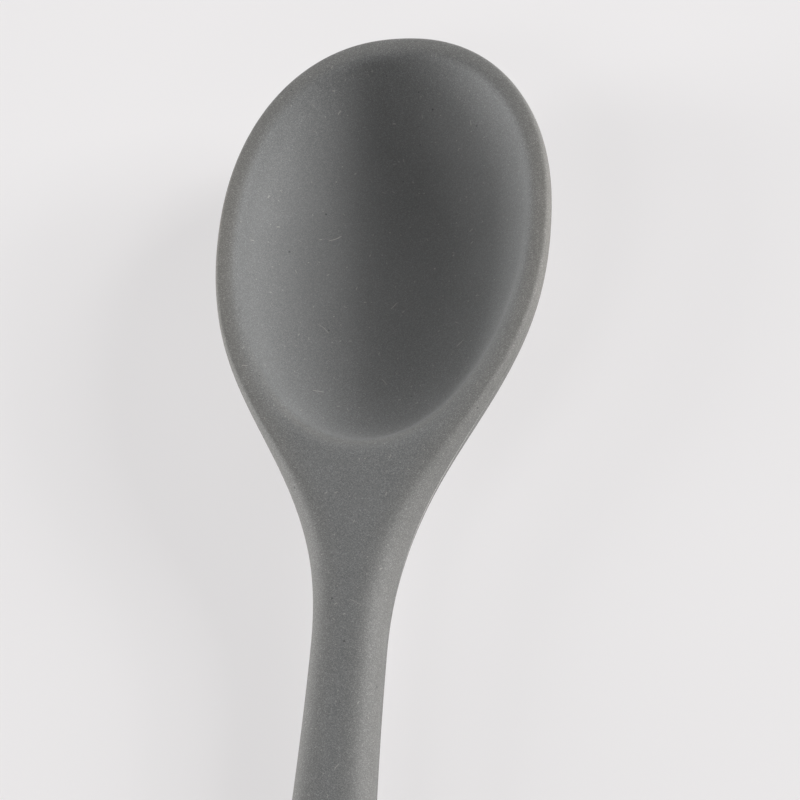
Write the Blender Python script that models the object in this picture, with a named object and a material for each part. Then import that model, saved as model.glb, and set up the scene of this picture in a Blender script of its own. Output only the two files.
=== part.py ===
"""A silicone basting spoon: a soft skin moulded over a nylon core, with a steel bar in its handle.

Each piece is drawn in the spoon's own frame. X runs across the spoon, and Y along it, with zero
at the widest place of the bowl, the tip at +Y and the handle at -Y. Z is zero on the level top
that runs from the bowl's rim to the end of the handle. lay_down() then turns that frame, so that
the bowl and the end of the handle both rest on the table at Z = 0.
"""

import math

import bmesh
import bpy
from mathutils import Vector

# Bowl, in metres
BOWL_WIDTH = 0.0660
TIP_REACH = 0.0457
TIP_POWER = 2.185
BOWL_DEPTH = 0.0163
BOWL_WALL = 0.0036
RIM_CROWN = 0.0019
RIM_REACH = 0.0016

# Mouth of the bowl's hollow
MOUTH_INSET = 0.0020
MOUTH_NEAR = 0.0493
MOUTH_NEAR_POWER = 2.07
MOUTH_FILLET = 0.0022
WALL_SWEEP = math.radians(70)

# Web and neck
NECK_PLACE = 0.0881
NECK_WIDTH = 0.01396
NECK_CROWN = 0.0066
NECK_KEEL = 0.0060
NECK_REACH = 0.0058
NECK_PULL = 0.0411
BOWL_PULL = 0.0419
SEAM_RISE_FROM = 0.0750
SEAM_RISE_TO = 0.0250
KEEL_DROP_FROM = 0.0580
KEEL_DROP_TO = 0.0060
REACH_FROM = 0.0300

# Handle
HANDLE_LENGTH = 0.2400
GRIP_FROM_END = 0.0200
GRIP_PLACE = HANDLE_LENGTH - GRIP_FROM_END
GRIP_WIDTH = 0.0226
GRIP_REACH = 0.0045
END_THICKNESS = 0.0088
END_POWER = 2.3
HOLE_FROM_END = 0.0118
HOLE_WIDTH = 0.0090

# Layers and the bar
SKIN = 0.0010
CLEARANCE = 0.0003
BAR_FROM_END = 0.0300
BAR_PAST_NECK = 0.0161
BAR_LENGTH = HANDLE_LENGTH - BAR_FROM_END - NECK_PLACE + BAR_PAST_NECK
BAR_WIDTH = 0.0060
BAR_THICKNESS = 0.0030
BAR_EDGE = 0.0004
PIN_HOLE_WIDTH = 0.0030
PIN_HOLES = 3

# Depth of the flats where the spoon touches the table
REST_FLAT = 0.0004

# Where the ribs of the underside run to, as shares of the outline's place past each end
SPINE_AT_TIP = 0.15
SPINE_AT_END = 0.35
UNDERSIDE_POWER = 1.95

# Steps along the outline (end, grip, web, tip), then steps up the crown and down the underside
FINE = {
    "outline_steps": (8, 10, 14, 16),
    "crown_steps": 5,
    "underside_steps": 8,
    "mouth_steps": 14,
    "fillet_steps": 5,
    "wall_steps": 8,
}
COARSE = {
    "outline_steps": (5, 6, 9, 10),
    "crown_steps": 2,
    "underside_steps": 5,
    "mouth_steps": 9,
    "fillet_steps": 2,
    "wall_steps": 5,
}
HOLE_SIDES = 32
PIN_SIDES = 12

# A cutter runs this far past what it cuts, and its fillet stops just short of the level top
OVERRUN = 0.0300
FILLET_STOP = 0.8

# Faces that meet at a steeper angle than this are shaded with a sharp edge
SHARP_ANGLE = math.radians(40)

# Two points nearer than this, in metres, are one point
SAME_PLACE = 1e-9
SAME_PLACE_DIGITS = 9
BEVEL_STEPS = 2

# Colours as linear red, green and blue, then each surface's roughness
SILICONE_COLOUR = (0.165, 0.168, 0.166)
NYLON_COLOUR = (0.55, 0.53, 0.47)
STEEL_COLOUR = (0.55, 0.55, 0.56)
SILICONE_ROUGHNESS = 0.62
NYLON_ROUGHNESS = 0.50
STEEL_ROUGHNESS = 0.30


def clear_scene():
    for old in list(bpy.data.objects):
        bpy.data.objects.remove(old, do_unlink=True)


def ease(share):
    """Runs from 0 to 1 with a level start and finish."""
    share = min(max(share, 0.0), 1.0)
    return share * share * (3.0 - 2.0 * share)


def between(low, high, share):
    return low + (high - low) * share


def pulled_curve(start, start_pull, end_pull, end, share):
    """A point on the cubic curve from start to end."""
    rest = 1.0 - share
    return (
        start * rest**3
        + start_pull * 3.0 * rest**2 * share
        + end_pull * 3.0 * rest * share**2
        + end * share**3
    )


def oval_point(half_width, length, power, angle):
    """A point on a quarter of a superellipse, from its side at angle 0 to its end."""
    across = half_width * max(math.cos(angle), 0.0) ** (2.0 / power)
    if across < SAME_PLACE:
        across = 0.0
    return Vector((across, length * math.sin(angle) ** (2.0 / power)))


def outline_points(steps):
    """The right half of the outline, from the end of the handle to the tip of the bowl."""
    end_steps, grip_steps, web_steps, tip_steps = steps
    points = []
    for step in range(end_steps):
        angle = math.pi / 2 * (1 - step / end_steps)
        across, past = oval_point(GRIP_WIDTH / 2, HANDLE_LENGTH - GRIP_PLACE, END_POWER, angle)
        points.append(Vector((across, -GRIP_PLACE - past)))
    for step in range(grip_steps):
        share = step / grip_steps
        width = between(GRIP_WIDTH, NECK_WIDTH, ease(share))
        points.append(Vector((width / 2, between(-GRIP_PLACE, -NECK_PLACE, share))))
    neck = Vector((NECK_WIDTH / 2, -NECK_PLACE))
    side = Vector((BOWL_WIDTH / 2, 0.0))
    neck_pull = neck + Vector((0.0, NECK_PULL))
    side_pull = side - Vector((0.0, BOWL_PULL))
    for step in range(web_steps):
        points.append(pulled_curve(neck, neck_pull, side_pull, side, step / web_steps))
    for step in range(tip_steps + 1):
        angle = math.pi / 2 * step / tip_steps
        points.append(oval_point(BOWL_WIDTH / 2, TIP_REACH, TIP_POWER, angle))
    return points


def outward_normals(points):
    """The outline's normals in the plane of the spoon; both ends lie on the middle line."""
    normals = [Vector((0.0, -1.0))]
    for before, after in zip(points, points[2:]):
        along = after - before
        normals.append(Vector((along.y, -along.x)).normalized())
    normals.append(Vector((0.0, 1.0)))
    return normals


def spine_place(place):
    """Where on the middle line the rib from a place on the outline ends."""
    if place < -GRIP_PLACE:
        return -GRIP_PLACE + (place + GRIP_PLACE) * SPINE_AT_END
    if place > 0.0:
        return place * SPINE_AT_TIP
    return place


def along_handle(place):
    """Runs from 0 at the end of the handle to 1 at the neck, and levels out there."""
    share = (place + HANDLE_LENGTH) / (HANDLE_LENGTH - NECK_PLACE)
    share = min(max(share, 0.0), 1.0)
    return 1.0 - (1.0 - share) ** 2


def crown_at(place):
    """How far the seam lies below the level top."""
    handle = between(END_THICKNESS / 2, NECK_CROWN, along_handle(place))
    rise = ease((place + SEAM_RISE_FROM) / (SEAM_RISE_FROM - SEAM_RISE_TO))
    return between(handle, RIM_CROWN, rise)


def underside_at(place):
    """How far the lowest line of the underside lies below the level top."""
    handle = between(END_THICKNESS, NECK_CROWN + NECK_KEEL, along_handle(place))
    drop = ease((place + KEEL_DROP_FROM) / (KEEL_DROP_FROM - KEEL_DROP_TO))
    return between(handle, BOWL_DEPTH + BOWL_WALL, drop)


def reach_at(place):
    """How far in from the outline the rounding of the top ends."""
    handle = between(GRIP_REACH, NECK_REACH, ease((place + GRIP_PLACE) / (GRIP_PLACE - NECK_PLACE)))
    return between(handle, RIM_REACH, ease((place + NECK_PLACE) / (NECK_PLACE - REACH_FROM)))


def mirrored_ring(mesh, half):
    """Vertices round the whole outline; half holds the right side's points from end to tip."""
    right = [mesh.verts.new(point) for point in half]
    left = [mesh.verts.new((-point.x, point.y, point.z)) for point in half[1:-1]]
    return right, [right[0]] + left + [right[-1]]


def strip(mesh, first, second):
    """Quads between two rows of vertices; a pair that shares a vertex makes a triangle."""
    for a, b, c, d in zip(first, first[1:], second[1:], second):
        corners = list(dict.fromkeys((a, b, c, d)))
        if len(corners) > 2:
            mesh.faces.new(corners)


def finish_object(name, mesh, parent):
    """Makes an object from a bmesh, with its faces turned outwards and shaded smooth."""
    bmesh.ops.recalc_face_normals(mesh, faces=mesh.faces)
    data = bpy.data.meshes.new(name)
    mesh.to_mesh(data)
    mesh.free()
    data.shade_smooth()
    data.set_sharp_from_angle(angle=SHARP_ANGLE)
    made = bpy.data.objects.new(name, data)
    bpy.context.scene.collection.objects.link(made)
    made.parent = parent
    return made


def make_blank(name, frame, inset, detail):
    """The spoon's outer shape without its hollow, each surface moved inwards by inset."""
    edge = outline_points(detail["outline_steps"])
    normals = outward_normals(edge)
    places = [point.y for point in edge]
    edge = [point - normal * inset for point, normal in zip(edge, normals)]
    spine = [Vector((0.0, spine_place(place))) for place in places]
    inward = [(end - point).normalized() for point, end in zip(edge, spine)]
    mesh = bmesh.new()

    rows = []
    for level in range(detail["crown_steps"] + 1):
        angle = math.pi / 2 * level / detail["crown_steps"]
        half = []
        for point, normal, way, place in zip(edge, normals, inward, places):
            reach = (reach_at(place) - inset) / -way.dot(normal)
            spot = point + way * reach * (1.0 - math.cos(angle))
            crown = crown_at(place)
            half.append(Vector((spot.x, spot.y, -crown + (crown - inset) * math.sin(angle))))
        rows.append(mirrored_ring(mesh, half))
    for (right, left), (next_right, next_left) in zip(rows, rows[1:]):
        strip(mesh, right, next_right)
        strip(mesh, left, next_left)
    strip(mesh, *rows[-1])

    under = [rows[0]]
    for level in range(1, detail["underside_steps"]):
        angle = math.pi / 2 * level / detail["underside_steps"]
        inner, down = oval_point(1.0, 1.0, UNDERSIDE_POWER, angle)
        half = []
        for point, end, place in zip(edge, spine, places):
            spot = end + (point - end) * inner
            height = between(-crown_at(place), inset - underside_at(end.y), down)
            half.append(Vector((spot.x, spot.y, height)))
        under.append(mirrored_ring(mesh, half))
    keel = [mesh.verts.new((0.0, end.y, inset - underside_at(end.y))) for end in spine]
    under.append((keel, keel))
    for (right, left), (next_right, next_left) in zip(under, under[1:]):
        strip(mesh, right, next_right)
        strip(mesh, left, next_left)
    return finish_object(name, mesh, frame)


def mouth_points(steps):
    """The hollow's outline on the level top, all round, from the right side over the tip."""
    half_width = BOWL_WIDTH / 2 - MOUTH_INSET
    tip = [
        oval_point(half_width, TIP_REACH - MOUTH_INSET, TIP_POWER, math.pi / 2 * step / steps)
        for step in range(steps + 1)
    ]
    near = [
        oval_point(half_width, MOUTH_NEAR, MOUTH_NEAR_POWER, math.pi / 2 * step / steps)
        for step in range(steps + 1)
    ]
    left_tip = [Vector((-point.x, point.y)) for point in reversed(tip[:-1])]
    left_near = [Vector((-point.x, -point.y)) for point in near[1:]]
    right_near = [Vector((point.x, -point.y)) for point in reversed(near[1:-1])]
    return tip + left_tip + left_near + right_near


def hollow_rib(mouth, normal, grow, detail):
    """Points down one side of the hollow: the rim's inner fillet, then the wall to the floor."""
    centre = Vector((0.0, mouth.y * SPINE_AT_TIP))
    wall_top = mouth - normal * MOUTH_FILLET
    reach = (wall_top - centre).length
    drop = BOWL_DEPTH - MOUTH_FILLET / 2
    steepness = math.sin(WALL_SWEEP) * math.tan(WALL_SWEEP) / (1 - math.cos(WALL_SWEEP))
    slope = math.atan(steepness * drop / reach)
    wall_top = wall_top + normal * grow * math.sin(slope)
    wall_top_height = -MOUTH_FILLET * math.tan(slope / 2) - grow * math.cos(slope)
    reach = (wall_top - centre).length
    out = (wall_top - centre).normalized()
    corner = wall_top + normal * (-grow - wall_top_height) / math.tan(slope)

    points = []
    for step in range(detail["fillet_steps"] + 1):
        share = FILLET_STOP * (1 - step / detail["fillet_steps"])
        rest = 1.0 - share
        spot = wall_top * rest**2 + corner * 2 * rest * share + mouth * share**2
        height = wall_top_height * rest**2 - grow * (1 - rest**2)
        points.append(Vector((spot.x, spot.y, height)))
    floor = -BOWL_DEPTH - grow
    for step in range(1, detail["wall_steps"]):
        sweep = WALL_SWEEP * (1 - step / detail["wall_steps"])
        spot = centre + out * reach * math.sin(sweep) / math.sin(WALL_SWEEP)
        share = (1 - math.cos(sweep)) / (1 - math.cos(WALL_SWEEP))
        points.append(Vector((spot.x, spot.y, between(floor, wall_top_height, share))))
    points.append(Vector((centre.x, centre.y, floor)))
    return points


def make_hollow(name, frame, grow, detail):
    """The bowl's hollow as a solid, its surface moved outwards by grow."""
    mouth = mouth_points(detail["mouth_steps"])
    around = len(mouth)
    mesh = bmesh.new()
    ribs = []
    for index, point in enumerate(mouth):
        along = mouth[(index + 1) % around] - mouth[index - 1]
        normal = Vector((along.y, -along.x)).normalized()
        rib = hollow_rib(point, normal, grow, detail)
        above = Vector((rib[0].x, rib[0].y, OVERRUN))
        ribs.append([above] + rib)
    floor_points = {}
    rows = []
    for rib in ribs:
        row = [mesh.verts.new(spot) for spot in rib[:-1]]
        key = round(rib[-1].y, SAME_PLACE_DIGITS)
        if key not in floor_points:
            floor_points[key] = mesh.verts.new(rib[-1])
        rows.append(row + [floor_points[key]])
    for index, row in enumerate(rows):
        strip(mesh, row, rows[(index + 1) % around])
    mesh.faces.new([row[0] for row in rows])
    return finish_object(name, mesh, frame)


def make_rod(name, frame, place, width, bottom, top, sides):
    """An upright round cutter."""
    mesh = bmesh.new()
    bmesh.ops.create_cone(
        mesh, cap_ends=True, segments=sides, radius1=width / 2, radius2=width / 2, depth=top - bottom
    )
    bmesh.ops.translate(mesh, verts=mesh.verts, vec=(0.0, place, (bottom + top) / 2))
    return finish_object(name, mesh, frame)


def make_box(name, frame, size, centre):
    mesh = bmesh.new()
    bmesh.ops.create_cube(mesh, size=1.0)
    bmesh.ops.scale(mesh, verts=mesh.verts, vec=size)
    bmesh.ops.translate(mesh, verts=mesh.verts, vec=centre)
    return finish_object(name, mesh, frame)


def cut(target, cutter):
    modifier = target.modifiers.new(cutter.name, "BOOLEAN")
    modifier.operation = "DIFFERENCE"
    modifier.solver = "EXACT"
    modifier.object = cutter
    cutter.hide_render = True
    cutter.display_type = "WIRE"


def give_material(target, name, colour, roughness, metallic=0.0):
    material = bpy.data.materials.new(name)
    material.use_nodes = True
    shader = material.node_tree.nodes["Principled BSDF"]
    shader.inputs["Base Color"].default_value = (*colour, 1.0)
    shader.inputs["Roughness"].default_value = roughness
    shader.inputs["Metallic"].default_value = metallic
    target.data.materials.append(material)


def hang_hole(name, frame):
    place = HOLE_FROM_END - HANDLE_LENGTH
    return make_rod(name, frame, place, HOLE_WIDTH, -OVERRUN, OVERRUN, HOLE_SIDES)


def make_skin(frame):
    """The silicone: one moulding round the whole core, open to it only in the hang hole."""
    skin = make_blank("silicone_skin", frame, 0.0, FINE)
    cut(skin, make_hollow("skin_hollow", frame, 0.0, FINE))
    room = make_blank("core_room", frame, SKIN, COARSE)
    cut(room, make_hollow("core_room_hollow", frame, SKIN, COARSE))
    cut(skin, room)
    cut(skin, hang_hole("skin_hang_hole", frame))
    give_material(skin, "grey_silicone", SILICONE_COLOUR, SILICONE_ROUGHNESS)
    return skin


def bar_box(name, frame, clearance):
    """The bar's shape, larger by clearance on every side; it lies at the seam of the handle."""
    middle = BAR_FROM_END + BAR_LENGTH / 2 - HANDLE_LENGTH
    size = (
        BAR_WIDTH + 2 * clearance,
        BAR_LENGTH + 2 * clearance,
        BAR_THICKNESS + 2 * clearance,
    )
    return make_box(name, frame, size, (0.0, middle, -crown_at(middle)))


def make_core(frame):
    """The nylon stiffener of bowl and handle, moulded round the bar."""
    core = make_blank("nylon_core", frame, SKIN + CLEARANCE, COARSE)
    cut(core, make_hollow("core_hollow", frame, SKIN + CLEARANCE, COARSE))
    cut(core, bar_box("bar_room", frame, CLEARANCE))
    cut(core, hang_hole("core_hang_hole", frame))
    bar_start = BAR_FROM_END - HANDLE_LENGTH
    for number in range(PIN_HOLES):
        place = bar_start + BAR_LENGTH * (number + 0.5) / PIN_HOLES
        top = -crown_at(bar_start + BAR_LENGTH / 2)
        name = f"pin_hole_{number + 1}"
        cut(core, make_rod(name, frame, place, PIN_HOLE_WIDTH, -OVERRUN, top, PIN_SIDES))
    give_material(core, "natural_nylon", NYLON_COLOUR, NYLON_ROUGHNESS)
    return core


def make_bar(frame):
    """The steel bar that keeps the handle straight."""
    bar = bar_box("steel_bar", frame, 0.0)
    bevel = bar.modifiers.new("softened edges", "BEVEL")
    bevel.width = BAR_EDGE
    bevel.segments = BEVEL_STEPS
    give_material(bar, "stainless_steel", STEEL_COLOUR, STEEL_ROUGHNESS, metallic=1.0)
    return bar


def lay_down(frame, skin):
    """Turns the spoon until bowl and handle end touch one plane, and centres it on the origin.

    The cut that leaves the two flats comes before the others, while the skin is one plain shape.
    """
    corners = [vertex.co.copy() for vertex in skin.data.vertices]
    end = min((corner for corner in corners if corner.y < -GRIP_PLACE), key=lambda corner: corner.z)
    bowl = [corner for corner in corners if corner.y > -NECK_PLACE]
    frame.rotation_euler.x = max(math.atan2(end.z - corner.z, corner.y - end.y) for corner in bowl)
    turn = frame.rotation_euler.to_matrix()
    turned = [turn @ corner for corner in corners]
    low = min(corner.z for corner in turned)
    front = min(corner.y for corner in turned)
    back = max(corner.y for corner in turned)
    frame.location = (0.0, -(front + back) / 2, -low - REST_FLAT)
    size = (2 * BOWL_WIDTH, 2 * HANDLE_LENGTH, OVERRUN)
    cut(skin, make_box("table_cut", None, size, (0.0, 0.0, -OVERRUN / 2)))
    skin.modifiers.move(len(skin.modifiers) - 1, 0)


def main():
    clear_scene()
    frame = bpy.data.objects.new("spoon_frame", None)
    bpy.context.scene.collection.objects.link(frame)
    skin = make_skin(frame)
    make_core(frame)
    make_bar(frame)
    lay_down(frame, skin)


main()
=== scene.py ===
import math

import bpy
import numpy as np
from mathutils import Euler, Matrix, Vector


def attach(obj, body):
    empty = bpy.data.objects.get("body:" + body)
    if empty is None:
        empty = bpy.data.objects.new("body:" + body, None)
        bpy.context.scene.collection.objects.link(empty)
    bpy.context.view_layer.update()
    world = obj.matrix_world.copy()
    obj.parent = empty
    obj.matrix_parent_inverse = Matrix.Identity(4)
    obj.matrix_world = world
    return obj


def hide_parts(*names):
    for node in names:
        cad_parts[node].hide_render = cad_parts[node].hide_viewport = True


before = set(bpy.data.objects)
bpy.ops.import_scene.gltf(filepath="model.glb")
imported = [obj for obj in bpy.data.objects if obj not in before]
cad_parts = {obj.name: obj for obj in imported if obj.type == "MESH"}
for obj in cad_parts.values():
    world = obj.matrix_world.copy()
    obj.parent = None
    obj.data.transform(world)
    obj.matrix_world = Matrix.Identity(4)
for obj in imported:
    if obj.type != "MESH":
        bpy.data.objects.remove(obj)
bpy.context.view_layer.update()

# Lengths are in metres. The spoon's own frame has X across, Y along with zero at the bowl's widest
# place and the tip at +Y, and Z zero on the level top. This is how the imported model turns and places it.
TILT = math.radians(2.7364)
PLACE = Vector((0.0, 0.0968888, 0.0198664))

# Bowl. A power is that of a superellipse: 2 makes an ellipse, and more makes it fuller.
BOWL_WIDTH = 0.0660
TIP_REACH = 0.0457
TIP_POWER = 2.185
BOWL_DEPTH = 0.0163
BOWL_WALL = 0.0036
UNDERSIDE_POWER = 1.95

# Mouth of the bowl's hollow: how far in from the outline it lies and how far it reaches towards the
# handle, the width of its rounding at the tip and near the handle, and the arc that the wall follows
MOUTH_INSET = 0.0017
MOUTH_HALF_WIDTH = BOWL_WIDTH / 2 - MOUTH_INSET
MOUTH_NEAR = 0.0511
MOUTH_NEAR_POWER = 2.07
MOUTH_FILLET = 0.0032
NEAR_FILLET = 0.0050
WALL_SWEEP = math.radians(70)

# Ribs run from the outline in to the middle line. In the hollow and towards the tip they lean in, and
# end at this share of their start's distance from the bowl's widest place. Beyond the grip they do
# the same with their distance from the grip.
BOWL_LEAN = 0.15
END_LEAN = 0.35

# The search for the rib of the hollow that a point lies on
LEAST_SHARE = 1e-6
MOST_SHARE = 4.0
SEARCH_STEPS = 46

# Handle. Its length, and the places along handle, neck and web, are measured from the bowl's widest
# place towards the handle.
HANDLE_LENGTH = 0.2400
GRIP_PLACE = 0.2200
GRIP_WIDTH = 0.0226
END_THICKNESS = 0.0088
END_POWER = 2.3

# Neck, and how far the web's outline is pulled along from the neck and back from the bowl
NECK_PLACE = 0.0881
NECK_WIDTH = 0.01396
NECK_KEEL = 0.0060
NECK_PULL = 0.0411
BOWL_PULL = 0.0419

# Where the parting line rises, the underside drops, and the rounding of the top narrows
SEAM_RISE_FROM = 0.0750
SEAM_RISE_TO = 0.0250
KEEL_DROP_FROM = 0.0580
KEEL_DROP_TO = 0.0060
REACH_FROM = 0.0725
REACH_TO = 0.0400

# Rounding of the top, from the parting line: its height at the neck and the rim, how far in it reaches
# at the grip, the neck and the rim, its power across, and its power in height at the neck and the rim
NECK_CROWN = 0.0066
RIM_CROWN = 0.0019
GRIP_REACH = 0.0080
NECK_REACH = 0.0064
RIM_REACH = 0.0014
CROWN_POWER = 2.5
NECK_FULLNESS = 2.4
RIM_FULLNESS = 2.8

# Hang hole: its distance from the handle's end, its width and the rounding of its edges, how far the
# handle's lower face lies below the level top there, and how far the cutter runs past both faces
HOLE_FROM_END = 0.0118
HOLE_WIDTH = 0.0090
HOLE_ROUNDING = 0.0007
HOLE_LOW_FACE = 0.0083
HOLE_SIDES = 96
HOLE_STEPS = 8
OVERRUN = 0.0300

# The fine ridge that the mould leaves along its parting line
RIDGE_HEIGHT = 0.00010
RIDGE_HALF_WIDTH = 0.00024
RIDGE_STEPS = 4

# How thick the skin is on the handle and at the bowl, and how softly it flattens on the table
SKIN = 0.0009
BOWL_SKIN = 0.0007
REST_SOFTNESS = 0.00006

# Faces that meet at a steeper angle than this are shaded with a sharp edge
SHARP_ANGLE = math.radians(50)

# Mesh steps along the outline (end, grip, web, tip), over the rounding, across the top and underneath,
# for the outer surface and the inner one, and how much more closely the top's rows lie at the outline
FINE = {"outline": (30, 90, 190, 120), "crown": 12, "top": 84, "under": 34}
COARSE = {"outline": (12, 20, 34, 26), "crown": 4, "top": 16, "under": 12}
TOP_CROWDING = 1.6

# The grain's contrast on the grip and deep in the hollow, against 1 at the neck and the rim, and the
# depth at which the hollow has it. The hollow's side towards the handle keeps its full contrast.
HANDLE_GRAIN = 0.75
HOLLOW_GRAIN = 0.58
HOLLOW_FADE = 0.0120

# How far in from the outline and how far down into the hollow the skin keeps the warmer tone and the
# painted sheen of its edge, and how strong these are on the handle and at the tip
EDGE_TONE_AND_SHEEN_FADE = 0.0078
EDGE_TONE_AND_SHEEN_DEPTH = 0.0010
HANDLE_TONE_AND_SHEEN = 0.50
TIP_TONE_AND_SHEEN = 0.40

# How far below the level top the near side of the hollow's mouth is rubbed most, and where along the
# spoon, and how far to both sides, the parting line carries a painted glint
MOUTH_WEAR = 0.0010
SEAM_GLINT_AT = -0.0560
SEAM_GLINT_REACH = 0.0260

# Colours, as linear red, green and blue
SKIN_COLOUR = (0.1645, 0.1671, 0.1664)
# Paler and warmer than the skin: a warmer tone of the edge, with painted sheen where grazing light
# brightens the outline and underside
SKIN_EDGE_TONE_AND_SHEEN_COLOUR = (0.203, 0.197, 0.185)
# A painted glint: a pale highlight painted along the parting line's ridge
SEAM_GLINT_COLOUR = (0.50, 0.49, 0.48)
SKIN_WEAR_COLOUR = (0.170, 0.170, 0.165)
SKIN_SPECK_COLOUR = (0.34, 0.33, 0.31)
SKIN_PIT_COLOUR = (0.06, 0.06, 0.06)
NYLON_COLOUR = (0.55, 0.53, 0.47)
NYLON_DARK_COLOUR = (0.47, 0.45, 0.39)
STEEL_COLOUR = (0.55, 0.55, 0.56)
STEEL_DARK_COLOUR = (0.42, 0.42, 0.43)
FLOOR_COLOUR = (0.770, 0.756, 0.760)
FLOOR_DARK_COLOUR = (0.750, 0.736, 0.740)
BACKDROP_COLOUR = (1.0, 1.0, 1.0)

# The range that most of a noise pattern's values lie in, and a narrower one for the nylon's clouds
NOISE_RANGE = (0.3, 0.7)
NYLON_CLOUD_RANGE = (0.35, 0.65)

# Each material's uniform values, roughness range, and bump as strength and depth
SILICONE_FINISH = {"IOR": 1.42, "Specular IOR Level": 0.3, "Sheen Weight": 0.06, "Sheen Roughness": 0.35}
SILICONE_ROUGHNESS = (0.56, 0.68)
SILICONE_BUMP = (0.22, 0.00010)
NYLON_FINISH = {"IOR": 1.53}
NYLON_ROUGHNESS = (0.42, 0.56)
NYLON_BUMP = (0.2, 0.00005)
STEEL_FINISH = {"Metallic": 1.0}
STEEL_ROUGHNESS = (0.24, 0.38)
STEEL_BUMP = (0.15, 0.00002)
FLOOR_FINISH = {"Roughness": 0.9, "Specular IOR Level": 0.0}

# How many cells or waves of a pattern go into a metre
SILICONE_CLOUDS = 130.0
SILICONE_SPECKS = 7800.0
SILICONE_STREAKS = 6500.0
SILICONE_GRAIN = 5600.0
NYLON_CLOUDS = 90.0
NYLON_GRAIN = 1500.0
STEEL_BRUSHING = 5000.0
FLOOR_CLOUDS = 3.0

# What the silicone's specks, streaks and clouds give to the factor on its colour, how rare the palest
# specks are, and how the streaks are stretched, turned and read
SPECK_SHADES = (-0.16, 0.48)
STREAK_SHADES = (-0.15, 0.15)
CLOUD_SHADES = (0.97, 1.03)
SPECK_POWER = 3.0
STREAK_STRETCH = (1.0, 2.5, 1.0)
STREAK_TURN = math.radians(45)
STREAK_RANGE = (0.2, 0.8)

# Round spots: cells in a metre, the spot's radius in cells, and the share of the cells that have one.
# Then how strongly they colour the silicone, and the share of its radius over which a spot doesn't fade.
PALE_SPOTS = {"scale": 900.0, "size": 0.15, "share": 0.14}
PITS = {"scale": 330.0, "size": 0.09, "share": 0.20}
PALE_STRENGTH = 0.65
PIT_STRENGTH = 0.7
SPOT_CORE = 0.6

# Marks: cells in a metre, length and width, the share of the cells that have one, and its bend
SCRATCHES = {"scale": 520.0, "length": 0.0008, "width": 0.00024, "share": 0.10}
LINT = {"scale": 75.0, "length": 0.0032, "width": 0.00024, "share": 0.30, "bend": 120.0}

# How long and how strong a mark is by chance, the shares of its half length and half width over which
# it doesn't fade, and how high it stands in the bump
MARK_LENGTHS = (0.25, 1.0)
MARK_STRENGTHS = (0.5, 1.2)
MARK_CORE_ALONG = 0.8
MARK_CORE_ACROSS = 0.5
MARK_HEIGHT = 0.4

# How level a surface is, as the rise of its normal, where marks begin to show and where they show fully
LEVEL_RANGE = (0.35, 0.6)

# How the steel's brushing is stretched along the bar
BRUSH_STRETCH = (1.0, 50.0, 1.0)

# The floor's half width, and how it looks directly: how strong its own glow is and how much of its
# look that makes up, near the spoon and far away, and the distances between which the two change over
FLOOR_REACH = 6.0
FLOOR_GLOW = (1.22, 1.0)
FLOOR_GLOW_SHARE = (0.62, 1.0)
FLOOR_CHANGE = (0.45, 1.3)

# Brightness of the backdrop as it looks, and of the weak even light that it gives
BACKDROP_STRENGTH = 0.76
AMBIENT_STRENGTH = 0.02

# How far away the lamps stand and where they aim. Then each lamp's direction round the spoon and above
# the floor, in degrees, its width and height in metres, and its power in watts
LAMP_DISTANCE = 2.0
LAMP_AIM = Vector((0.0, 0.05, 0.01))
LAMPS = {
    "right softbox": (34.0, 27.0, 0.60, 0.56, 21.6),
    "low right softbox": (16.0, 15.0, 0.68, 0.60, 34.4),
    "left softbox": (180.0, 20.0, 0.68, 0.68, 16.8),
    "low left softbox": (187.0, 6.0, 1.00, 0.36, 26.4),
    "far softbox": (100.0, 14.0, 1.00, 0.60, 4.8),
    "near softbox": (305.0, 24.0, 0.80, 0.60, 4.0),
    "top softbox": (228.0, 40.0, 0.80, 0.80, 8.4),
}

# Camera, as fitted to the photograph in the spoon's own frame: it stands to the right of the middle
# line and towards the handle. AIM is the point that shows at AIM_PIXEL, and SENSOR is in millimetres.
VIEW_SIDE = math.radians(13.81)
VIEW_LOW = math.radians(32.50)
VIEW_ROLL = math.radians(5.38)
VIEW_DISTANCE = 0.650
FOCAL_PIXELS = 3313.0
FRAME_PIXELS = 800.0
AIM = Vector((0.0, 0.0, -0.0064))
AIM_PIXEL = (387.37, 244.16)
SENSOR = 36.0


def ease(share):
    """Runs from 0 to 1 with a level start and finish."""
    share = np.clip(share, 0.0, 1.0)
    return share * share * (3.0 - 2.0 * share)


def ease_towards_tip(along, start, end):
    """Runs from 0 to 1 between two distances from the bowl's widest place towards the handle."""
    return ease((along + start) / (start - end))


def between(low, high, share):
    return low + (high - low) * share


def quarter_oval(half_width, length, power, angle):
    """A quarter of a superellipse, from its side at angle 0 to its end."""
    across = half_width * np.clip(np.cos(angle), 0.0, 1.0) ** (2.0 / power)
    along = length * np.clip(np.sin(angle), 0.0, 1.0) ** (2.0 / power)
    return across, along


def pulled_curve(corners, share):
    """A curve from the first of four values to the last, pulled towards the two in the middle."""
    rest = 1.0 - share
    pulls = (rest**3, 3 * rest**2 * share, 3 * rest * share**2, share**3)
    return sum(pull * corner for pull, corner in zip(pulls, corners))


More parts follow.
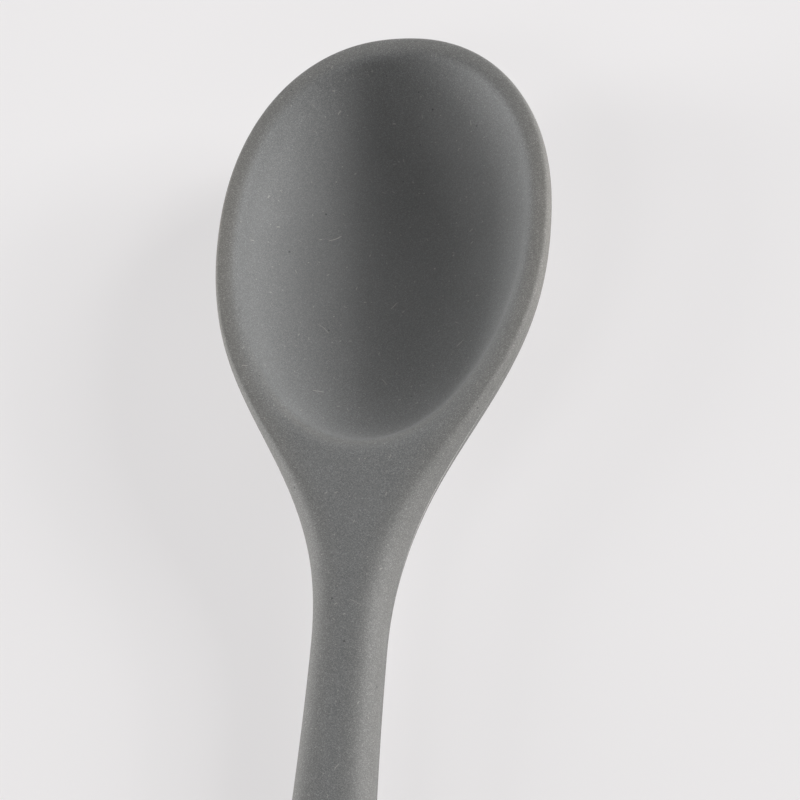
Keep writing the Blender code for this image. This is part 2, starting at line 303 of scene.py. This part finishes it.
def outline(steps):
    """Half width and place of the spoon's outline, from the end of the handle to the tip."""
    end_steps, grip_steps, web_steps, tip_steps = steps
    turn = np.pi / 2 * (1 - np.arange(end_steps) / end_steps)
    end_across, end_along = quarter_oval(GRIP_WIDTH / 2, HANDLE_LENGTH - GRIP_PLACE, END_POWER, turn)
    end_across[0] = 0.0
    share = np.arange(grip_steps) / grip_steps
    grip_across = between(GRIP_WIDTH, NECK_WIDTH, ease(share)) / 2
    grip_along = between(-GRIP_PLACE, -NECK_PLACE, share)
    share = np.arange(web_steps) / web_steps
    widths = (NECK_WIDTH / 2, NECK_WIDTH / 2, BOWL_WIDTH / 2, BOWL_WIDTH / 2)
    web_across = pulled_curve(widths, share)
    web_along = pulled_curve((-NECK_PLACE, NECK_PULL - NECK_PLACE, -BOWL_PULL, 0.0), share)
    turn = np.pi / 2 * np.arange(tip_steps + 1) / tip_steps
    tip_across, tip_along = quarter_oval(BOWL_WIDTH / 2, TIP_REACH, TIP_POWER, turn)
    tip_across[-1] = 0.0
    across = np.concatenate((end_across, grip_across, web_across, tip_across))
    along = np.concatenate((-GRIP_PLACE - end_along, grip_along, web_along, tip_along))
    return across, along


def spine_place(along):
    """Where on the middle line the rib from a place on the outline ends."""
    end = -GRIP_PLACE + (along + GRIP_PLACE) * END_LEAN
    return np.where(along < -GRIP_PLACE, end, np.where(along > 0.0, along * BOWL_LEAN, along))


def along_handle(along):
    """Runs from 0 at the end of the handle to 1 at the neck, and levels out there."""
    share = np.clip((along + HANDLE_LENGTH) / (HANDLE_LENGTH - NECK_PLACE), 0.0, 1.0)
    return 1.0 - (1.0 - share) ** 2


def crown_at(along):
    """How far the parting line lies below the level top."""
    handle = between(END_THICKNESS / 2, NECK_CROWN, along_handle(along))
    return between(handle, RIM_CROWN, ease_towards_tip(along, SEAM_RISE_FROM, SEAM_RISE_TO))


def underside_at(along):
    """How far the lowest line of the underside lies below the level top."""
    handle = between(END_THICKNESS, NECK_CROWN + NECK_KEEL, along_handle(along))
    drop = ease_towards_tip(along, KEEL_DROP_FROM, KEEL_DROP_TO)
    return between(handle, BOWL_DEPTH + BOWL_WALL, drop)


def reach_at(along):
    """How far in from the outline the rounding of the top ends."""
    handle = between(GRIP_REACH, NECK_REACH, ease_towards_tip(along, GRIP_PLACE, NECK_PLACE))
    return between(handle, RIM_REACH, ease_towards_tip(along, REACH_FROM, REACH_TO))


def fullness_at(along):
    """The power that the rounding of the top has in height."""
    return between(NECK_FULLNESS, RIM_FULLNESS, ease_towards_tip(along, REACH_FROM, REACH_TO))


def mouth_shape(along):
    """Length and power of the mouth's quarter oval on this side of the bowl's widest place."""
    tip = along >= 0.0
    length = np.where(tip, TIP_REACH - MOUTH_INSET, MOUTH_NEAR)
    return length, np.where(tip, TIP_POWER, MOUTH_NEAR_POWER)


def hollow_place(across, along):
    """Share of the way from the hollow's centre to its mouth, and the mouth's point on that rib."""
    length, power = mouth_shape(along)
    far = np.abs(along)
    low = np.clip((far / length - BOWL_LEAN) / (1 - BOWL_LEAN), LEAST_SHARE, None)
    high = np.full_like(low, MOST_SHARE)
    for _ in range(SEARCH_STEPS):
        share = (low + high) / 2
        mouth_far = far / (BOWL_LEAN + (1 - BOWL_LEAN) * share)
        room = np.clip(1 - (mouth_far / length) ** power, 0.0, 1.0)
        mouth_across = MOUTH_HALF_WIDTH * room ** (1 / power)
        inside = share * mouth_across < np.abs(across)
        low = np.where(inside, share, low)
        high = np.where(inside, high, share)
    return share, mouth_across, mouth_far


def mouth_facing(across, far, length, power):
    """How squarely a rib of the hollow meets the mouth's outline: 1 is square on."""
    normal_across = (across / MOUTH_HALF_WIDTH) ** (power - 1) / MOUTH_HALF_WIDTH
    normal_along = (far / length) ** (power - 1) / length
    rib_along = far * (1 - BOWL_LEAN)
    facing = normal_across * across + normal_along * rib_along
    return facing / (np.hypot(normal_across, normal_along) * np.hypot(across, rib_along))


def arc_climb(share):
    """Share of its height that the hollow's wall, an arc, has climbed at a share of its reach."""
    sine = np.clip(share, 0.0, 1.0) * math.sin(WALL_SWEEP)
    return (1 - np.sqrt(1 - sine**2)) / (1 - math.cos(WALL_SWEEP))


def rounding_left(past, reach, corner):
    """Share of its height that a parabolic rounding still has to climb, at a distance past its start.

    The corner is how far from the start the lines that it rounds off would meet."""
    bend = reach - 2 * corner
    step = past / (corner + np.sqrt(np.clip(corner**2 + bend * past, 0.0, None)))
    return (1 - step) ** 2


def hollow_height(across, along):
    """Height of the hollow's surface; zero outside its mouth, where the level top goes on."""
    length, power = mouth_shape(along)
    share, mouth_across, mouth_far = hollow_place(across, along)
    rib_length = np.hypot(mouth_across, mouth_far * (1 - BOWL_LEAN))
    facing = mouth_facing(mouth_across, mouth_far, length, power)
    near = np.where(along < 0.0, mouth_far / length, 0.0)
    width = between(MOUTH_FILLET, NEAR_FILLET, ease(near))
    fillet = width / facing
    reach = rib_length - fillet
    drop = BOWL_DEPTH - width / 2
    steepness = math.sin(WALL_SWEEP) * math.tan(WALL_SWEEP) / (1 - math.cos(WALL_SWEEP))
    slope = np.arctan(steepness * drop / reach)
    wall_top = -width * np.tan(slope / 2)
    radius = share * rib_length
    wall = between(-BOWL_DEPTH, wall_top, arc_climb(radius / reach))
    past = np.clip(radius - reach, 0.0, fillet)
    corner = -wall_top / np.tan(slope) / facing
    rounded = wall_top * rounding_left(past, fillet, corner)
    return np.where(radius < reach, wall, np.where(share < 1.0, rounded, 0.0))


class Ribs:
    """The lines from the outline in to the middle line, on which the rows of points are laid out."""

    def __init__(self, steps):
        across, self.along = outline(steps)
        self.spine = spine_place(self.along)
        self.edge = np.stack((across, self.along), axis=1)
        tangent = np.gradient(self.edge, axis=0)
        self.normal = np.stack((tangent[:, 1], -tangent[:, 0]), axis=1)
        self.normal /= np.linalg.norm(self.normal, axis=1, keepdims=True)
        self.normal[0] = (0.0, -1.0)
        self.normal[-1] = (0.0, 1.0)
        self.inward = np.stack((-across, self.spine - self.along), axis=1)
        self.length = np.linalg.norm(self.inward, axis=1)
        self.inward /= self.length[:, None]

    def row(self, distance, height, bulge=0.0):
        """The points at a distance in from the outline and at a height, pushed out by a bulge."""
        steps = self.inward * np.broadcast_to(distance, len(self.edge))[:, None]
        spots = self.edge + steps + self.normal * bulge
        return np.column_stack((spots, np.broadcast_to(height, len(self.edge))))


def ridge_share(level):
    """How much of its height the parting line's ridge has, some steps above or below its middle."""
    return math.cos(math.pi / 2 * level / RIDGE_STEPS) ** 2


def crown_distance(reach, angle):
    """Distance in from the outline on the rounding of the top, which runs out softly into the flat."""
    return reach * (1 - np.clip(np.cos(angle), 0.0, 1.0) ** (2 / CROWN_POWER))


def crown_angle(share, fullness):
    """The angle on the rounding of the top at a share of its height above the parting line."""
    return np.arcsin(share ** (fullness / 2))


def top_rows(ribs, detail):
    """Rows of points from the parting line over the rounding and across the top to the middle line."""
    crown = crown_at(ribs.along)
    fullness = fullness_at(ribs.along)
    reach = reach_at(ribs.along) / -(ribs.inward * ribs.normal).sum(axis=1)
    rows = []
    for level in range(RIDGE_STEPS + 1):
        height = RIDGE_HALF_WIDTH * level / RIDGE_STEPS
        distance = crown_distance(reach, crown_angle(height / crown, fullness))
        rows.append(ribs.row(distance, height - crown, RIDGE_HEIGHT * ridge_share(level)))
    first = crown_angle(RIDGE_HALF_WIDTH / crown, fullness)
    for level in range(1, detail["crown"] + 1):
        angle = between(first, np.pi / 2, level / detail["crown"])
        height = crown * (np.sin(angle) ** (2 / fullness) - 1)
        rows.append(ribs.row(crown_distance(reach, angle), height))
    for level in range(1, detail["top"] + 1):
        share = (level / detail["top"]) ** TOP_CROWDING
        row = ribs.row(between(reach, ribs.length, share), 0.0)
        row[:, 2] = hollow_height(row[:, 0], row[:, 1])
        rows.append(row)
    return rows


def under_rows(ribs, detail):
    """Rows of points from below the parting line round the underside to the middle line."""
    crown = crown_at(ribs.along)
    depth = underside_at(ribs.spine)
    rows = []
    for level in range(1, RIDGE_STEPS + 1):
        height = RIDGE_HALF_WIDTH * level / RIDGE_STEPS
        down = height / (depth - crown)
        inner = (1 - down**UNDERSIDE_POWER) ** (1 / UNDERSIDE_POWER)
        bulge = RIDGE_HEIGHT * ridge_share(level)
        rows.append(ribs.row(ribs.length * (1 - inner), -height - crown, bulge))
    first = np.arcsin((RIDGE_HALF_WIDTH / (depth - crown)) ** (UNDERSIDE_POWER / 2))
    for level in range(1, detail["under"] + 1):
        angle = between(first, np.pi / 2, level / detail["under"])
        inner, down = quarter_oval(1.0, 1.0, UNDERSIDE_POWER, angle)
        rows.append(ribs.row(ribs.length * (1 - inner), -between(crown, depth, down)))
    return rows


def place_points(points):
    """Turns and places points of the spoon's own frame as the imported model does."""
    turn = np.array(Euler((TILT, 0.0, 0.0)).to_matrix())
    return points @ turn.T + np.array(PLACE)


def settle(points):
    """Places the skin's points, and lets it settle on the table."""
    placed = place_points(points)
    placed[:, 2] = (placed[:, 2] + np.sqrt(placed[:, 2] ** 2 + 4 * REST_SOFTNESS**2)) / 2
    return placed


def mirrored_points(right):
    """The points of both halves, which share the middle line, and each one's number in either grid."""
    rows, stations = right.shape[:2]
    points = []
    index = np.zeros((2, rows, stations), int)
    for side, sign in enumerate((1.0, -1.0)):
        for level in range(rows):
            for station in range(stations):
                middle = level in (0, rows - 1) or station in (0, stations - 1)
                if side and middle:
                    index[1, level, station] = index[0, level, station]
                    continue
                index[side, level, station] = len(points)
                across, along, height = right[level, station]
                points.append((0.0 if middle else sign * across, along, height))
    return np.array(points), index


def mirrored_faces(index):
    """Faces between the neighbouring points of either half's grid, all facing out."""
    faces = []
    for side, grid in enumerate(index):
        for level in range(len(grid) - 1):
            for station in range(len(grid[0]) - 1):
                corners = [
                    grid[level, station],
                    grid[level + 1, station],
                    grid[level + 1, station + 1],
                    grid[level, station + 1],
                ]
                faces.append(corners[::-1] if side else corners)
    return faces


def zone_shares(right, seam_row, top_steps):
    """For each point of the right half: how much it has of the edge's warmer tone and painted sheen, of
    the grain's contrast, of the wear on the hollow's mouth and of the painted glint on the parting line."""
    along = right[:, :, 1]
    inset = np.linalg.norm(right[:, :, :2] - right[seam_row, None, :, :2], axis=2)
    inset[seam_row + 1:] = 0.0
    depth = np.zeros(inset.shape)
    depth[:top_steps] = -right[:top_steps, :, 2]
    seam_glint = np.zeros(inset.shape)
    for level in range(RIDGE_STEPS + 1):
        seam_glint[[seam_row - level, seam_row + level]] = ridge_share(level)
    # The edge's warmer tone and painted sheen is weaker on the handle and at the tip
    tone_and_sheen = between(HANDLE_TONE_AND_SHEEN, 1.0, ease_towards_tip(along, MOUTH_NEAR, 0.0))
    tone_and_sheen = tone_and_sheen * between(1.0, TIP_TONE_AND_SHEEN, ease(along / TIP_REACH))
    near = ease(-along / MOUTH_NEAR)
    grain = between(HANDLE_GRAIN, 1.0, ease_towards_tip(along, GRIP_PLACE, NECK_PLACE))
    smoother = between(1.0 - HOLLOW_GRAIN, 0.0, near) * np.clip(depth / HOLLOW_FADE, 0.0, 1.0)
    return {
        # The edge's warmer tone and painted sheen, fading in from the outline and down into the hollow
        "edge": (1.0 - ease(inset / EDGE_TONE_AND_SHEEN_FADE)) * (1.0 - ease(depth / EDGE_TONE_AND_SHEEN_DEPTH)) * tone_and_sheen,
        "grain": grain - smoother,
        "mouth": ease(1.0 - np.abs(depth / MOUTH_WEAR - 1.0)) * near,
        # Painted glint along the parting line's ridge
        "seam_glint": seam_glint * ease(1.0 - np.abs(along - SEAM_GLINT_AT) / SEAM_GLINT_REACH),
    }


def closed_surface(detail):
    """The spoon's outer surface: its points, its faces, and the points' share of each zone."""
    ribs = Ribs(detail["outline"])
    top = top_rows(ribs, detail)
    right = np.array(top[::-1] + under_rows(ribs, detail))
    right[[0, -1], :, 0] = 0.0
    points, index = mirrored_points(right)
    zones = {}
    for name, shares in zone_shares(right, len(top) - 1, detail["top"]).items():
        zones[name] = np.zeros(len(points))
        zones[name][index] = shares
    return settle(points), mirrored_faces(index), zones


def make_mesh(name, points, faces):
    mesh = bpy.data.meshes.new(name)
    mesh.from_pydata([tuple(point) for point in points], [], faces)
    mesh.update()
    return mesh


def add_object(name, data):
    made = bpy.data.objects.new(name, data)
    bpy.context.scene.collection.objects.link(made)
    return made


def make_hole_cutter():
    """A round cutter for the hang hole, whose two ends flare out to round the hole's edges."""
    bend = np.pi / 2 * np.arange(HOLE_STEPS) / HOLE_STEPS
    flare = HOLE_WIDTH / 2 + HOLE_ROUNDING * (1 - np.cos(bend))
    top = HOLE_ROUNDING * (np.sin(bend) - 1)
    low = -HOLE_LOW_FACE - top
    radii = [flare[-1], *flare[::-1], *flare, flare[-1]]
    heights = [-OVERRUN, *low[::-1], *top, OVERRUN]
    turn = 2 * np.pi * np.arange(HOLE_SIDES) / HOLE_SIDES
    place = HOLE_FROM_END - HANDLE_LENGTH
    rings = [
        np.column_stack((r * np.cos(turn), place + r * np.sin(turn), np.full(HOLE_SIDES, z)))
        for r, z in zip(radii, heights)
    ]
    faces = [list(range(HOLE_SIDES))[::-1]]
    for ring in range(len(rings) - 1):
        for side in range(HOLE_SIDES):
            a = ring * HOLE_SIDES + side
            b = ring * HOLE_SIDES + (side + 1) % HOLE_SIDES
            faces.append([a, b, b + HOLE_SIDES, a + HOLE_SIDES])
    faces.append(list(range((len(rings) - 1) * HOLE_SIDES, len(rings) * HOLE_SIDES)))
    return add_object("hole_cutter", make_mesh("hole_cutter", place_points(np.concatenate(rings)), faces))


def cut_hang_hole(skin):
    cutter = make_hole_cutter()
    cut = skin.modifiers.new("hang hole", "BOOLEAN")
    cut.operation = "DIFFERENCE"
    cut.solver = "EXACT"
    cut.object = cutter
    graph = bpy.context.evaluated_depsgraph_get()
    skin.data = bpy.data.meshes.new_from_object(skin.evaluated_get(graph))
    skin.modifiers.clear()
    bpy.data.objects.remove(cutter)


def inner_surface():
    """The surface that lies against the core, as deep under the outer one as the skin is thick."""
    points, faces, _ = closed_surface(COARSE)
    mesh = make_mesh("inner", points, faces)
    normals = np.empty(len(points) * 3)
    mesh.vertices.foreach_get("normal", normals)
    bpy.data.meshes.remove(mesh)
    share = ease_towards_tip(points[:, 1] - PLACE.y, NECK_PLACE, MOUTH_NEAR)
    thickness = between(SKIN, BOWL_SKIN, share)
    return points - normals.reshape(-1, 3) * thickness[:, None], faces


def make_skin():
    """The silicone: the outer surface, and the inner one that lies against the core."""
    points, faces, zones = closed_surface(FINE)
    inner_points, inner_faces = inner_surface()
    first = len(points)
    faces += [[corner + first for corner in reversed(face)] for face in inner_faces]
    mesh = make_mesh("spoon_skin", np.concatenate((points, inner_points)), faces)
    for zone, shares in zones.items():
        shares = np.concatenate((shares, np.zeros(len(inner_points))))
        mesh.attributes.new(zone, "FLOAT", "POINT").data.foreach_set("value", shares)
    skin = add_object("spoon_skin", mesh)
    cut_hang_hole(skin)
    skin.data.shade_smooth()
    skin.data.set_sharp_from_angle(angle=SHARP_ANGLE)
    return skin


def new_material(name, finish):
    """A material, its node tree and its shader, with the values that are the same all over."""
    material = bpy.data.materials.new(name)
    material.use_nodes = True
    shader = material.node_tree.nodes["Principled BSDF"]
    for socket, value in finish.items():
        shader.inputs[socket].default_value = value
    return material, material.node_tree, shader


def set_material(piece, material):
    piece.data.materials.clear()
    piece.data.materials.append(material)


def fill(tree, socket, value):
    """Links a socket to an input, or writes a number, a vector or a colour there."""
    if isinstance(value, bpy.types.NodeSocket):
        tree.links.new(value, socket)
    elif socket.type == "RGBA":
        socket.default_value = (*value, 1.0)
    else:
        socket.default_value = value


def add_node(tree, kind, **inputs):
    """Adds a node and fills its inputs, whose names have an underscore for each space."""
    node = tree.nodes.new(kind)
    for name, value in inputs.items():
        fill(tree, node.inputs[name.replace("_", " ")], value)
    return node


def place_socket(tree, stretch=(1.0, 1.0, 1.0), turn=0.0):
    """The place on the object, in metres, for a pattern that is stretched and then turned about Z."""
    place = tree.nodes.new("ShaderNodeTexCoord").outputs["Object"]
    made = add_node(tree, "ShaderNodeMapping", Vector=place, Scale=stretch, Rotation=(0.0, 0.0, turn))
    made.vector_type = "TEXTURE"
    return made.outputs[0]


def noise(tree, place, scale, detail=2.0):
    return add_node(tree, "ShaderNodeTexNoise", Vector=place, Scale=scale, Detail=detail).outputs["Fac"]


def voronoi(tree, place, scale):
    """A pattern of cells, and three random values from 0 to 1 for each cell."""
    cells = add_node(tree, "ShaderNodeTexVoronoi", Vector=place, Scale=scale)
    return cells, add_node(tree, "ShaderNodeSeparateColor", Color=cells.outputs["Color"]).outputs


def ramp(tree, value, inputs=(0.0, 1.0), outputs=(0.0, 1.0)):
    """Maps a range of inputs onto a range of outputs, and holds the ends."""
    made = add_node(
        tree,
        "ShaderNodeMapRange",
        Value=value,
        From_Min=inputs[0],
        From_Max=inputs[1],
        To_Min=outputs[0],
        To_Max=outputs[1],
    )
    return made.outputs["Result"]


def maths(tree, operation, *values):
    made = tree.nodes.new("ShaderNodeMath")
    made.operation = operation
    for socket, value in zip(made.inputs, values):
        fill(tree, socket, value)
    return made.outputs[0]


def mix(tree, share, first, second):
    """Mixes two colours."""
    made = add_node(tree, "ShaderNodeMix", Factor=share)
    made.data_type = "RGBA"
    sockets = [socket for socket in made.inputs if socket.type == "RGBA"]
    for socket, colour in zip(sockets, (first, second)):
        fill(tree, socket, colour)
    return next(socket for socket in made.outputs if socket.type == "RGBA")


def dress(tree, shader, colour, roughness, height, bump):
    """Links a shader to its colour, its roughness, and a bump of a strength and a depth."""
    strength, depth = bump
    bumped = add_node(tree, "ShaderNodeBump", Strength=strength, Distance=depth, Height=height)
    fill(tree, shader.inputs["Base Color"], colour)
    fill(tree, shader.inputs["Roughness"], roughness)
    fill(tree, shader.inputs["Normal"], bumped.outputs[0])


def spots(tree, place, scale, size, share):
    """Small round spots on some of the cells of a pattern: 1 in a spot, 0 elsewhere."""
    cells, chance = voronoi(tree, place, scale)
    inside = ramp(tree, cells.outputs["Distance"], (size, size * SPOT_CORE))
    return maths(tree, "MULTIPLY", inside, maths(tree, "LESS_THAN", chance[0], share))


def fibres(tree, scale, length, width, share, bend=0.0):
    """Thin marks at random angles, at most one in a cell of a flat pattern: 1 on a mark, 0 elsewhere."""
    place = place_socket(tree)
    cells, chance = voronoi(tree, place, scale)
    cells.voronoi_dimensions = "2D"
    away = add_node(tree, "ShaderNodeVectorMath", Vector=place)
    away.operation = "SUBTRACT"
    fill(tree, away.inputs[1], cells.outputs["Position"])
    angle = maths(tree, "MULTIPLY", chance[1], math.pi)
    turned = add_node(tree, "ShaderNodeVectorRotate", Vector=away.outputs[0], Angle=angle)
    turned.rotation_type = "Z_AXIS"
    along, across, _ = add_node(tree, "ShaderNodeSeparateXYZ", Vector=turned.outputs[0]).outputs
    curve = maths(tree, "MULTIPLY", maths(tree, "MULTIPLY", along, along), bend)
    curve = maths(tree, "MULTIPLY", curve, ramp(tree, chance[2], outputs=(-1.0, 1.0)))
    off = maths(tree, "ABSOLUTE", maths(tree, "ADD", across, curve))
    on_width = ramp(tree, off, (width / 2, width / 2 * MARK_CORE_ACROSS))
    shorter = ramp(tree, chance[2], outputs=MARK_LENGTHS)
    far = maths(tree, "DIVIDE", maths(tree, "ABSOLUTE", along), shorter)
    on_length = ramp(tree, far, (length / 2, length / 2 * MARK_CORE_ALONG))
    chosen = maths(tree, "LESS_THAN", chance[0], share)
    paler = maths(tree, "MULTIPLY", chosen, ramp(tree, chance[1], outputs=MARK_STRENGTHS))
    return maths(tree, "MULTIPLY", maths(tree, "MULTIPLY", on_width, on_length), paler)


def facing_up(tree):
    """1 where the surface faces up or down, 0 on a steep side, where a flat pattern would smear."""
    normal = tree.nodes.new("ShaderNodeTexCoord").outputs["Normal"]
    rise = add_node(tree, "ShaderNodeSeparateXYZ", Vector=normal).outputs["Z"]
    return ramp(tree, maths(tree, "ABSOLUTE", rise), LEVEL_RANGE)


def zone_share(tree, zone):
    """How much a point of the skin has of one of its zones."""
    share = tree.nodes.new("ShaderNodeAttribute")
    share.attribute_name = zone
    return share.outputs["Fac"]


def silicone_tone_and_painted_light(tree):
    """The silicone's colour, with the warmer tone and painted sheen of its edge, the wear on its mouth,
    and a painted glint along the parting line.
    """
    # Painted sheen and warmer tone along the edge
    colour = mix(tree, zone_share(tree, "edge"), SKIN_COLOUR, SKIN_EDGE_TONE_AND_SHEEN_COLOUR)
    colour = mix(tree, zone_share(tree, "mouth"), colour, SKIN_WEAR_COLOUR)
    # Painted glint on the parting line
    return mix(tree, zone_share(tree, "seam_glint"), colour, SEAM_GLINT_COLOUR)


def silicone_shade(tree, place):
    """What the fine grain of specks and streaks, and the faint clouds, multiply the colour by."""
    _, chance = voronoi(tree, place, SILICONE_SPECKS)
    peaks = ramp(tree, maths(tree, "POWER", chance[0], SPECK_POWER), outputs=SPECK_SHADES)
    streaks = noise(tree, place_socket(tree, STREAK_STRETCH, STREAK_TURN), SILICONE_STREAKS, detail=1.0)
    shade = maths(tree, "ADD", peaks, ramp(tree, streaks, STREAK_RANGE, STREAK_SHADES))
    shade = maths(tree, "MULTIPLY", shade, zone_share(tree, "grain"))
    clouds = noise(tree, place, SILICONE_CLOUDS, detail=3.0)
    return maths(tree, "ADD", shade, ramp(tree, clouds, NOISE_RANGE, CLOUD_SHADES))


def silicone_material():
    """Matte grey silicone with a fine grain, pale and dark specks, fine marks and a little lint."""
    material, tree, shader = new_material("silicone", SILICONE_FINISH)
    place = place_socket(tree)
    tinted = add_node(tree, "ShaderNodeVectorMath", Vector=silicone_tone_and_painted_light(tree))
    tinted.operation = "SCALE"
    fill(tree, tinted.inputs["Scale"], silicone_shade(tree, place))
    marks = maths(tree, "MAXIMUM", fibres(tree, **SCRATCHES), fibres(tree, **LINT))
    marks = maths(tree, "MULTIPLY", marks, facing_up(tree))
    pale = maths(tree, "MAXIMUM", marks, spots(tree, place, **PALE_SPOTS))
    pale = maths(tree, "MULTIPLY", pale, PALE_STRENGTH)
    colour = mix(tree, pale, tinted.outputs[0], SKIN_SPECK_COLOUR)
    pits = maths(tree, "MULTIPLY", spots(tree, place, **PITS), PIT_STRENGTH)
    colour = mix(tree, pits, colour, SKIN_PIT_COLOUR)
    grain = noise(tree, place, SILICONE_GRAIN, detail=1.0)
    roughness = ramp(tree, grain, NOISE_RANGE, SILICONE_ROUGHNESS)
    height = maths(tree, "ADD", grain, maths(tree, "MULTIPLY", marks, MARK_HEIGHT))
    dress(tree, shader, colour, roughness, height, SILICONE_BUMP)
    return material


def nylon_material():
    """Undyed nylon, as moulded: slightly cloudy, with a satin surface."""
    material, tree, shader = new_material("nylon", NYLON_FINISH)
    place = place_socket(tree)
    clouds = noise(tree, place, NYLON_CLOUDS, detail=4.0)
    colour = mix(tree, ramp(tree, clouds, NYLON_CLOUD_RANGE), NYLON_COLOUR, NYLON_DARK_COLOUR)
    roughness = ramp(tree, clouds, NOISE_RANGE, NYLON_ROUGHNESS)
    dress(tree, shader, colour, roughness, noise(tree, place, NYLON_GRAIN), NYLON_BUMP)
    return material


def steel_material():
    """Stainless steel, brushed along the bar."""
    material, tree, shader = new_material("steel", STEEL_FINISH)
    brushed = noise(tree, place_socket(tree, BRUSH_STRETCH), STEEL_BRUSHING, detail=3.0)
    colour = mix(tree, ramp(tree, brushed, NOISE_RANGE), STEEL_COLOUR, STEEL_DARK_COLOUR)
    dress(tree, shader, colour, ramp(tree, brushed, NOISE_RANGE, STEEL_ROUGHNESS), brushed, STEEL_BUMP)
    return material


def seen_directly(tree):
    """1 where the camera, a reflection or a see-through piece looks, 0 where light is gathered."""
    rays = tree.nodes.new("ShaderNodeLightPath").outputs
    seen = maths(tree, "MAXIMUM", rays["Is Camera Ray"], rays["Is Glossy Ray"])
    return maths(tree, "MAXIMUM", seen, rays["Is Transmission Ray"])


def floor_material():
    """A plain floor that looks pale and keeps a soft shadow, but adds no light of its own."""
    material, tree, shader = new_material("pale floor", FLOOR_FINISH)
    place = place_socket(tree)
    clouds = noise(tree, place, FLOOR_CLOUDS, detail=3.0)
    colour = mix(tree, ramp(tree, clouds, NOISE_RANGE), FLOOR_COLOUR, FLOOR_DARK_COLOUR)
    fill(tree, shader.inputs["Base Color"], colour)
    distance = add_node(tree, "ShaderNodeVectorMath", Vector=place)
    distance.operation = "LENGTH"
    away = distance.outputs["Value"]
    strength = ramp(tree, away, FLOOR_CHANGE, FLOOR_GLOW)
    glow = add_node(tree, "ShaderNodeEmission", Color=colour, Strength=strength)
    share = maths(tree, "MULTIPLY", seen_directly(tree), ramp(tree, away, FLOOR_CHANGE, FLOOR_GLOW_SHARE))
    mixed = add_node(tree, "ShaderNodeMixShader", Fac=share)
    fill(tree, mixed.inputs[1], shader.outputs[0])
    fill(tree, mixed.inputs[2], glow.outputs[0])
    fill(tree, tree.nodes["Material Output"].inputs["Surface"], mixed.outputs[0])
    return material


def make_floor():
    sides = ((-1, -1), (1, -1), (1, 1), (-1, 1))
    corners = [(FLOOR_REACH * across, FLOOR_REACH * along, 0.0) for across, along in sides]
    floor = add_object("floor", make_mesh("floor", corners, [(0, 1, 2, 3)]))
    set_material(floor, floor_material())


def make_lamps():
    for name, (around, above, width, height, power) in LAMPS.items():
        data = bpy.data.lights.new(name, "AREA")
        data.shape = "RECTANGLE"
        data.size = width
        data.size_y = height
        data.energy = power
        lamp = add_object(name, data)
        away = Vector((LAMP_DISTANCE, 0.0, 0.0))
        away.rotate(Euler((0.0, -math.radians(above), math.radians(around))))
        lamp.location = LAMP_AIM + away
        lamp.rotation_euler = away.to_track_quat("Z", "Y").to_euler()
        lamp.visible_camera = False


def make_world():
    """Weak even light; the camera and reflections see a pale backdrop instead."""
    world = bpy.data.worlds.new("pale backdrop")
    bpy.context.scene.world = world
    world.use_nodes = True
    tree = world.node_tree
    background = tree.nodes["Background"]
    fill(tree, background.inputs["Color"], BACKDROP_COLOUR)
    strength = ramp(tree, seen_directly(tree), outputs=(AMBIENT_STRENGTH, BACKDROP_STRENGTH))
    fill(tree, background.inputs["Strength"], strength)


def make_camera():
    """The camera of the photograph, worked out in the spoon's own frame."""
    side = Vector((math.cos(VIEW_SIDE), 0.0, -math.sin(VIEW_SIDE)))
    back = Vector((
        math.sin(VIEW_SIDE) * math.cos(VIEW_LOW),
        -math.sin(VIEW_LOW),
        math.cos(VIEW_SIDE) * math.cos(VIEW_LOW),
    ))
    up = back.cross(side)
    right = side * math.cos(VIEW_ROLL) + up * math.sin(VIEW_ROLL)
    up = up * math.cos(VIEW_ROLL) - side * math.sin(VIEW_ROLL)
    axes = Matrix((right, up, back)).transposed()
    to_aim = Vector((
        AIM_PIXEL[0] - FRAME_PIXELS / 2,
        FRAME_PIXELS / 2 - AIM_PIXEL[1],
        -FOCAL_PIXELS,
    ))
    swing = to_aim.rotation_difference(Vector((0.0, 0.0, -1.0))).to_matrix()
    turn = Euler((TILT, 0.0, 0.0)).to_matrix()
    camera = add_object("camera", bpy.data.cameras.new("camera"))
    camera.matrix_world = (turn @ axes @ swing).to_4x4()
    camera.location = turn @ (AIM + back * VIEW_DISTANCE) + PLACE
    camera.data.sensor_width = SENSOR
    camera.data.lens = SENSOR * FOCAL_PIXELS / FRAME_PIXELS
    bpy.context.scene.camera = camera


skin = make_skin()
set_material(skin, silicone_material())
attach(skin, "root")
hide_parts("silicone_skin")
set_material(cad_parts["nylon_core"], nylon_material())
set_material(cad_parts["steel_bar"], steel_material())

make_floor()
make_lamps()
make_world()
make_camera()
bpy.context.scene.view_settings.view_transform = "Standard"
